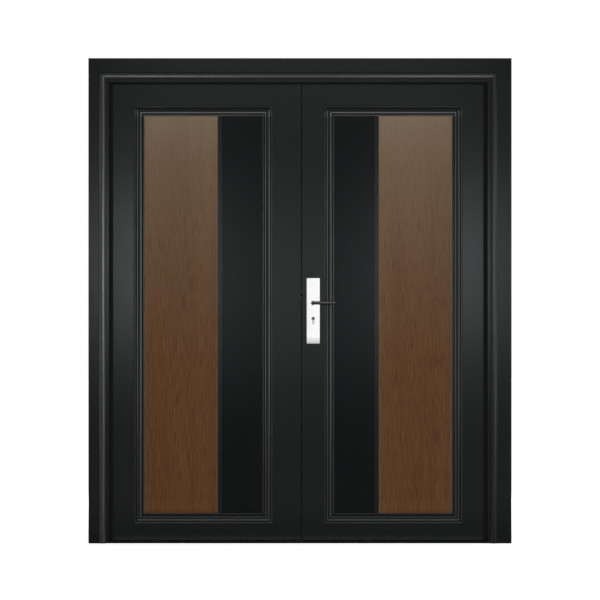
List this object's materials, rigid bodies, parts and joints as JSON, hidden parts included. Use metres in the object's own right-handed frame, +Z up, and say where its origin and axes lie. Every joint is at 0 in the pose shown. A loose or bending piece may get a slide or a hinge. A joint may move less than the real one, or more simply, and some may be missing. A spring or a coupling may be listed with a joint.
{
  "type": "double security door",
  "caption": "Double-leaf steel security door in a beaded frame, with wood-look and dark panels in mouldings, a lever lock on the active leaf and flush bolts on the other.",
  "frame": {"origin": "floor level under the threshold, on the centre line of the opening, in the plane of the leaves' front faces", "axes": "+X along the door to the active leaf's hinges, +Y indoors, the way the leaves open, +Z up"},
  "size_m": [1.831, 0.153, 2.1],
  "materials": {
    "black_paint": "satin",
    "dark_panel": "satin",
    "trim": "satin",
    "wood": "satin",
    "rubber": "matte",
    "bright_steel": "satin",
    "dark_metal": "satin",
    "zinc_steel": "satin",
    "core_board": "matte"
  },
  "bodies": {
    "frame": {"left_jamb": "black_paint", "right_jamb": "black_paint", "head": "black_paint", "threshold": "black_paint", "corner_cleats": "zinc_steel", "head_keep": "zinc_steel", "left_seal": "rubber", "right_seal": "rubber", "head_seal": "rubber", "left_frame_hinges": "dark_metal", "right_frame_hinges": "dark_metal", "left_hinge_pins": "zinc_steel", "right_hinge_pins": "zinc_steel", "frame_hinge_screws": "zinc_steel"},
    "left_leaf": {"left_front_skin": "black_paint", "left_rear_skin": "black_paint", "left_tube_frame": "zinc_steel", "left_core": "core_board", "left_moulding": "black_paint", "left_wood_panel": "wood", "left_dark_panel": "dark_panel", "left_divider": "trim", "left_bottom_seal": "rubber", "left_leaf_hinges": "dark_metal", "left_hinge_screws": "zinc_steel", "meeting_strip": "black_paint", "left_meeting_seal": "rubber", "strike_plate": "zinc_steel", "strike_screws": "zinc_steel", "flush_bolt_plates": "zinc_steel"},
    "right_leaf": {"right_front_skin": "black_paint", "right_rear_skin": "black_paint", "right_tube_frame": "zinc_steel", "right_core": "core_board", "right_moulding": "black_paint", "right_wood_panel": "wood", "right_dark_panel": "dark_panel", "right_divider": "trim", "right_bottom_seal": "rubber", "right_leaf_hinges": "dark_metal", "right_hinge_screws": "zinc_steel", "right_meeting_seal": "rubber", "lock_case": "zinc_steel", "forend": "zinc_steel", "forend_screws": "zinc_steel", "outer_plate": "bright_steel", "inner_plate": "bright_steel", "plate_bolts": "zinc_steel", "cylinder_body": "zinc_steel"},
    "lever": {"outer_lever": "dark_metal", "inner_lever": "dark_metal", "spindle": "zinc_steel", "follower": "zinc_steel"},
    "latch": {"latch_bolt": "dark_metal"},
    "cylinder_core": {"cylinder_plug": "dark_metal"},
    "dead_bolt": {"dead_bolt": "dark_metal"},
    "top_bolt": {"top_flush_bolt": "zinc_steel"},
    "bottom_bolt": {"bottom_flush_bolt": "zinc_steel"}
  },
  "joints": [
    {"name": "left_leaf_swing", "type": "hinge", "parent": "frame", "child": "left_leaf", "pos_m": [-0.834, 0.058, 0], "axis": [0, 0, 1], "range_deg": [0, 95]},
    {"name": "right_leaf_swing", "type": "hinge", "parent": "frame", "child": "right_leaf", "pos_m": [0.834, 0.058, 0], "axis": [0, 0, -1], "range_deg": [0, 95]},
    {"name": "lever_turn", "type": "hinge", "parent": "right_leaf", "child": "lever", "pos_m": [0.065, 0, 1.041], "axis": [0, 1, 0], "range_deg": [0, 40], "stiffness_Nm_per_rad": 1, "springref_deg": -34.38},
    {"name": "latch_slide", "type": "slide", "parent": "right_leaf", "child": "latch", "axis": [1, 0, 0], "range_m": [0, 0.012]},
    {"name": "thumbturn_turn", "type": "hinge", "parent": "right_leaf", "child": "cylinder_core", "pos_m": [0.065, 0, 0.973], "axis": [0, 1, 0], "range_deg": [0, 90]},
    {"name": "dead_bolt_slide", "type": "slide", "parent": "right_leaf", "child": "dead_bolt", "axis": [-1, 0, 0], "range_m": [0, 0.02]},
    {"name": "top_bolt_slide", "type": "slide", "parent": "left_leaf", "child": "top_bolt", "axis": [0, 0, 1], "range_m": [0, 0.011]},
    {"name": "bottom_bolt_slide", "type": "slide", "parent": "left_leaf", "child": "bottom_bolt", "axis": [0, 0, -1], "range_m": [0, 0.011]}
  ],
  "couplings": [
    {"joint": "latch_slide", "follows": "lever_turn", "m_per_rad": 0.01718},
    {"joint": "dead_bolt_slide", "follows": "thumbturn_turn", "m_per_rad": 0.01273}
  ]
}
